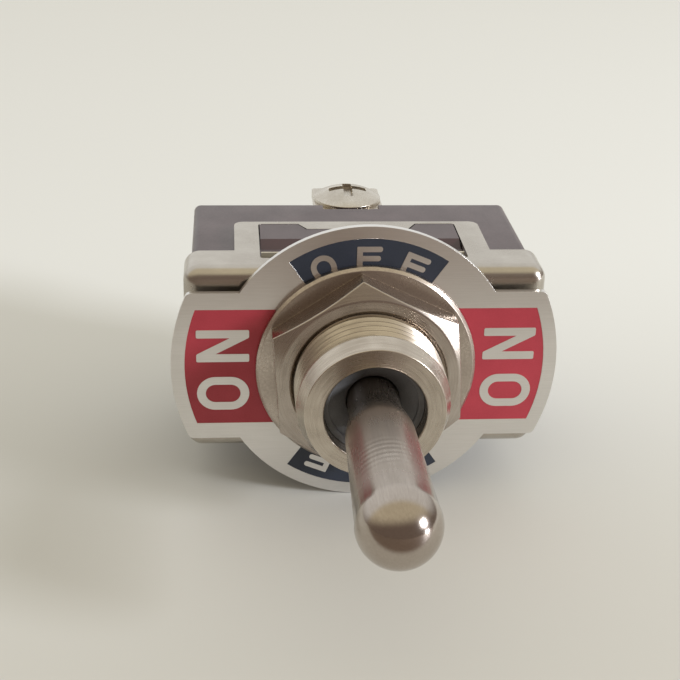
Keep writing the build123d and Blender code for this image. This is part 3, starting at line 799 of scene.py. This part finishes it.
@dataclass
class Lettering:
    """One letter of bare metal: strokes of an even width with softly rounded ends.

    The round shares say how much of half a stroke rounds its corners. The others place parts of
    a letter, as shares of half a stroke, or of half its height for f_bar.
    """

    glyph: Glyph
    width: float
    height: float
    stroke: float
    n_slant: float = 0.4
    n_round: float = 0.35
    f_bar: float = 0.08
    f_short: float = 0.6
    stem_round: float = 0.3
    arm_round: float = 0.9

    def outlines(self) -> list[list[Point2]]:
        """Returns each stroke as a closed outline about the letter's centre."""
        w, h, s = self.width / 2, self.height / 2, self.stroke / 2
        if self.glyph is Glyph.N:
            lines = [((-w + s, -h), (-w + s, h)), ((w - s, -h), (w - s, h)),
                     ((-w + s, h - self.n_slant * s), (w - s, -h + self.n_slant * s))]
            return [self._bar(a, b, self.n_round) for a, b in lines]
        if self.glyph is Glyph.F:
            lines = [((-w + s, -h), (-w + s, h)), ((-w, h - s), (w, h - s)),
                     ((-w, self.f_bar * h), (w - self.f_short * s, self.f_bar * h))]
            return [self._bar(a, b, self.arm_round if i else self.stem_round)
                    for i, (a, b) in enumerate(lines)]
        ring = self._ring(w - s, h - s)
        return [self._bar(a, b, 1.0, grow=s) for a, b in zip(ring, ring[1:] + ring[:1])]

    @staticmethod
    def _ring(w: float, h: float) -> list[Point2]:
        """Returns the centre line of the O: two half circles joined by straight sides."""
        count = 20
        turns = [math.pi * i / count for i in range(count + 1)]
        upper = [(w * math.cos(turn), h - w + w * math.sin(turn)) for turn in turns]
        return upper + [(-x, -y) for x, y in upper]

    def _bar(self, start: Point2, end: Point2, round_share: float,
             grow: float = 0.0) -> list[Point2]:
        """Outlines one straight stroke.

        Args:
            start: First end of its centre line.
            end: Other end.
            round_share: How much of the half width rounds its corners, from 0 to 1.
            grow: How far its ends run past the centre line.

        Returns:
            Corners of its outline, counter-clockwise.
        """
        a, b = Vector(start), Vector(end)
        along = (b - a).normalized()
        unit = Vector((-along.y, along.x))
        radius = self.stroke / 2 * round_share
        reach = self.stroke / 2 - radius
        ends = [(a - along * grow, -1, -1), (b + along * grow, 1, -1),
                (b + along * grow, 1, 1), (a - along * grow, -1, 1)]
        points: list[Point2] = []
        count = 6
        for turn, (end_point, ahead, side) in enumerate(ends):
            middle = end_point - along * ahead * radius + unit * side * reach
            for i in range(count + 1):
                angle = math.pi / 2 * (turn - 2 + i / count)
                spot = middle + radius * (along * math.cos(angle) + unit * math.sin(angle))
                points.append((spot.x, spot.y))
        return points


@dataclass
class LegendPlate:
    """The winged plate, its enamelled fields and the bare letters that stand in them."""

    face: float = -1.1
    floor: float = -1.0
    left_on_x: float = -11.4543
    right_on_x: float = 11.57
    on_n: Point2 = (1.9, 2.8)           # Z of its centre, width
    on_o: Point2 = (-2.33, 2.98)
    on_height: float = 4.2
    on_stroke: float = 0.7
    off_top_r: float = 10.33
    off_fan: float = 22.5
    off_width: float = 2.0
    off_height: float = 2.15
    off_stroke: float = 0.45

    def build(self) -> None:
        """Makes the plate, paints its fields and stands the letters in them."""
        dress(refined("legend_plate", "winged_plate"), PLATE_METAL, "housing", "legend_plate",
              edge=0.02, sharp=40)
        for node in ("on_field_left", "on_field_right"):
            repaint(node, RED_ENAMEL)
        for node in ("off_field_top", "off_field_bottom"):
            repaint(node, BLACK_ENAMEL)
        for hand, x in (("left", self.left_on_x), ("right", self.right_on_x)):
            shapes = []
            for glyph, (z, width) in ((Glyph.O, self.on_o), (Glyph.N, self.on_n)):
                letter = Lettering(glyph, width, self.on_height, self.on_stroke)
                shapes += self._set(letter, Vector((x, z)), 90.0)
            dress(self._raise("on_letters_" + hand, shapes), PLATE_METAL, "housing")
        for place, flip in (("top", 0.0), ("bottom", 180.0)):
            shapes = []
            for glyph, turn in ((Glyph.O, self.off_fan), (Glyph.F, 0.0), (Glyph.F, -self.off_fan)):
                letter = Lettering(glyph, self.off_width, self.off_height, self.off_stroke)
                way = math.radians(turn + flip)
                radius = self.off_top_r - self.off_height / 2
                centre = Vector((-radius * math.sin(way), radius * math.cos(way)))
                shapes += self._set(letter, centre, turn + flip)
            dress(self._raise("off_letters_" + place, shapes), PLATE_METAL, "housing")

    @staticmethod
    def _set(letter: Lettering, centre: Vector, turn: float) -> list[list[Vector]]:
        """Turns a letter counter-clockwise and puts it on the plate.

        Args:
            letter: The letter.
            centre: X and Z of its centre.
            turn: Degrees, counter-clockwise as seen from the lever's side.

        Returns:
            Its strokes' outlines on the plate.
        """
        spin = Matrix.Rotation(math.radians(turn), 2)
        return [[spin @ Vector(p) + centre for p in outline] for outline in letter.outlines()]

    def _raise(self, name: str, shapes: list[list[Vector]]) -> bpy.types.Object:
        """Joins flat strokes into one outline and raises it from the pocket to the plate's face.

        Args:
            name: The piece's name.
            shapes: Outlines on the plate, which may overlap.

        Returns:
            The letters as one piece.
        """
        spots: list[Vector] = []
        loops: list[list[int]] = []
        for shape in shapes:
            loops.append(list(range(len(spots), len(spots) + len(shape))))
            spots += shape
        merge_mm = 1e-4
        flat, _, faces, _, _, owners = delaunay_2d_cdt(spots, [], loops, 1, merge_mm)
        bm = bmesh.new()
        front = [bm.verts.new((MM * p.x, MM * self.face, MM * p.y)) for p in flat]
        for face, inside in zip(faces, owners):
            if inside:
                bm.faces.new([front[i] for i in face])
        bmesh.ops.delete(bm, geom=[v for v in bm.verts if not v.link_faces], context="VERTS")
        bmesh.ops.recalc_face_normals(bm, faces=bm.faces)
        grown = bmesh.ops.extrude_face_region(bm, geom=list(bm.faces))
        moved = [g for g in grown["geom"] if isinstance(g, bmesh.types.BMVert)]
        bmesh.ops.translate(bm, verts=moved, vec=(0, MM * (self.floor - self.face), 0))
        return link(finished_mesh(bm, name), name)


@dataclass
class Bat:
    """The turned lever with its ball, and the plunger and spring in its bored tail.

    Between ripple_from and ripple_to the shaft has faint tool marks, ripple high.
    """

    pivot: float = -1.0
    ball_r: float = 3.2
    neck_r: float = 2.0
    neck_end: float = -8.9
    mid_r: float = 2.6
    mid_y: float = -13.0
    end_r: float = 2.88
    tip_r: float = 2.95
    tip_end: float = -26.9
    tail_r: float = 2.2
    tail_end: float = 5.5
    tail_edge: float = 0.3
    bore_r: float = 1.3
    bore_end: float = 0.5
    ripple: float = 0.003
    ripple_pitch: float = 0.6
    ripple_from: float = -21.5
    ripple_to: float = -16.5

    def build(self) -> None:
        """Turns the lever and dresses what it carries."""
        dress(lathe("lever_bat", self._profile(), 144), LEVER_NICKEL, "lever", "lever", sharp=28)
        repaint("plunger_spring", SPRING_STEEL)
        repaint("plunger", ACETAL)

    def _ripples(self, join: float) -> list[Point2]:
        """Rings the shaft with faint tool marks.

        Args:
            join: Where the shaft meets its round tip.

        Returns:
            The marked stretch of the shaft's outline, towards the neck.
        """
        marks: list[Point2] = []
        count = 60
        for i in range(1, count):
            y = self.ripple_from + (self.ripple_to - self.ripple_from) * i / count
            radius = self.end_r + (self.mid_r - self.end_r) * (y - join) / (self.mid_y - join)
            wave = math.sin(2 * math.pi * (y - self.mid_y) / self.ripple_pitch)
            marks.append((radius + self.ripple * math.sin(math.pi * i / count) * wave, y))
        return marks

    def _profile(self) -> list[Point2]:
        """Returns the lever's section from the tip to the bottom of its bore."""
        steps = 24
        centre = self.tip_end + self.tip_r
        join = centre + math.sqrt(self.tip_r ** 2 - self.end_r ** 2)
        dome = [(self.tip_r * math.sin(a), centre - self.tip_r * math.cos(a))
                for a in (math.pi / 2 * i / steps for i in range(steps + 1))]
        shaft = [(self.end_r, join)] + self._ripples(join) + [(self.mid_r, self.mid_y)]
        rise, run = self.mid_r - self.neck_r, self.neck_end - self.mid_y
        shoulder = [(self.mid_r - rise * (0.5 - 0.5 * math.cos(math.pi * t)), self.mid_y + run * t)
                    for t in (i / 12 for i in range(1, 13))]
        start = math.pi - math.asin(self.neck_r / self.ball_r)
        end = math.asin(self.tail_r / self.ball_r)
        ball = [(self.ball_r * math.sin(a), self.pivot + self.ball_r * math.cos(a))
                for a in (start + (end - start) * i / steps for i in range(steps + 1))]
        tail = [(self.tail_r, self.tail_end - self.tail_edge),
                (self.tail_r - self.tail_edge, self.tail_end), (self.bore_r, self.tail_end),
                (self.bore_r, self.bore_end), (0.0, self.bore_end)]
        return dome + shaft + shoulder + ball + tail


@dataclass
class Terminals:
    """Three folded strips with their square washers, screws and contacts, and the rocker."""

    names: tuple[str, ...] = ("common", "left", "right")

    def build(self) -> None:
        """Dresses each terminal and the switching parts inside."""
        for where in self.names:
            for node, name, finish, edge, sharp in (
                    ("terminal_", "strip_", TERMINAL_NICKEL, 0.06, 40),
                    ("clamp_washer_", "square_washer_", SCREW_NICKEL, 0.06, 40),
                    ("terminal_screw_", "screw_", SCREW_NICKEL, 0.07, 32)):
                dress(refined(node + where, name + where), finish, "housing", node + where,
                      edge=edge, sharp=sharp)
        for hand in ("left", "right"):
            repaint("fixed_contact_" + hand, SILVER)
            repaint("moving_contact_" + hand, SILVER)
        repaint("rocker", BRASS)
        repaint("fulcrum_saddle", BRASS)


@dataclass(frozen=True)
class Lamp:
    """A soft rectangular lamp that faces the switch."""

    name: str
    at: Point3
    size: Point2
    watts: float
    colour: str = "f8faff"

    def hang(self) -> None:
        """Puts the lamp in the scene."""
        data = bpy.data.lights.new(self.name, "AREA")
        data.shape = "RECTANGLE"
        data.size, data.size_y = (side * MM for side in self.size)
        data.energy = self.watts
        data.color = srgb(self.colour)[:3]
        lamp = bpy.data.objects.new(self.name, data)
        bpy.context.scene.collection.objects.link(lamp)
        lamp.location = Vector(self.at) * MM
        lamp.rotation_euler = (-Vector(self.at)).to_track_quat("-Z", "Y").to_euler()


@dataclass(frozen=True)
class Room:
    """What the metals mirror: a pale wall behind, a cream ceiling, and dimness low in front.

    How far a direction points along lean_way, up and back, sets how pale it is, from dim at one
    end of dim_to_pale to pale at the other. Its Y takes the pale colour from wall to ceiling.
    """

    dim: str = "86766b"
    wall: str = "fdfdfa"
    ceiling: str = "eadfc4"
    lean_way: Point3 = (-0.1, 0.45, 1.0)
    dim_to_pale: Point2 = (0.05, 0.6)
    wall_to_ceiling: Point2 = (0.32, -0.05)
    strength: float = 0.94

    def build(self) -> None:
        """Builds the world's tree."""
        world = bpy.data.worlds.new("room")
        world.use_nodes = True
        tree = world.node_tree
        background = tree.nodes["Background"]
        way = add_node(tree, "ShaderNodeTexCoord").outputs["Generated"]
        lean = add_node(tree, "ShaderNodeVectorMath", {"operation": "DOT_PRODUCT"},
                        {0: way, 1: self.lean_way}).outputs["Value"]
        depth = add_node(tree, "ShaderNodeSeparateXYZ", {}, {0: way}).outputs["Y"]
        rise, over = (
            add_node(tree, "ShaderNodeMapRange", {"interpolation_type": "SMOOTHSTEP"},
                     {"Value": value, "From Min": low, "From Max": high}).outputs["Result"]
            for value, (low, high) in ((lean, self.dim_to_pale), (depth, self.wall_to_ceiling)))
        pale = add_node(tree, "ShaderNodeMix", {"data_type": "RGBA"},
                        {0: over, 6: srgb(self.wall), 7: srgb(self.ceiling)}).outputs[2]
        colour = add_node(tree, "ShaderNodeMix", {"data_type": "RGBA"},
                          {0: rise, 6: srgb(self.dim), 7: pale}).outputs[2]
        tree.links.new(colour, background.inputs["Color"])
        background.inputs["Strength"].default_value = self.strength
        bpy.context.scene.world = world


@dataclass
class Studio:
    """The floor that the switch lies on, soft light and the photograph's camera."""

    camera_at: Point3 = (-10.678, -94.584, 47.587)
    forward: Point3 = (0.08204, 0.89716, -0.43403)
    up: Point3 = (0.00909, 0.4348, 0.90048)
    lens: float = 69.216
    sensor: float = 36.0
    nearest: float = 5.0
    floor_z: float = -12.0
    floor_half: float = 1500.0
    lamps: tuple[Lamp, ...] = (
        Lamp("window", (518, -269, 220), (140, 140), 3.3),
        Lamp("low_window", (535, -251, 8), (75, 40), 0.48))

    def build(self) -> None:
        """Sets up the view, the floor, the lamps and the room."""
        bpy.context.scene.view_settings.view_transform = "Standard"
        self._camera()
        self._floor()
        for lamp in self.lamps:
            lamp.hang()
        Room().build()

    def _camera(self) -> None:
        """Stands the camera where the outlines of plate, washer, nut and nose put it."""
        data = bpy.data.cameras.new("camera")
        data.lens = self.lens
        data.sensor_width = self.sensor
        data.clip_start = self.nearest * MM
        camera = bpy.data.objects.new("camera", data)
        bpy.context.scene.collection.objects.link(camera)
        back = -Vector(self.forward).normalized()
        right = Vector(self.up).cross(back).normalized()
        top = back.cross(right)
        turn = Matrix((right, top, back)).transposed().to_4x4()
        camera.matrix_world = Matrix.Translation(Vector(self.camera_at) * MM) @ turn
        bpy.context.scene.camera = camera

    def _floor(self) -> None:
        """Lays pale paper under the switch, on a table that shows beyond the paper's near edge."""
        half, z = self.floor_half * MM, self.floor_z * MM
        mesh = bpy.data.meshes.new("floor")
        mesh.from_pydata([(-half, -half, z), (half, -half, z), (half, half, z), (-half, half, z)],
                         [], [(0, 1, 2, 3)])
        floor = link(mesh, "floor")
        floor.data.materials.append(PaperOnTable().material())


def main() -> None:
    """Builds every part of the scene."""
    logging.basicConfig(level=logging.INFO, format="%(name)s: %(message)s")
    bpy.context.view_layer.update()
    Studio().build()
    for part in (Body(), LegendPlate(), FrontHardware(), Bushing(), Bat(), Terminals()):
        part.build()


if __name__ == "__main__":
    main()
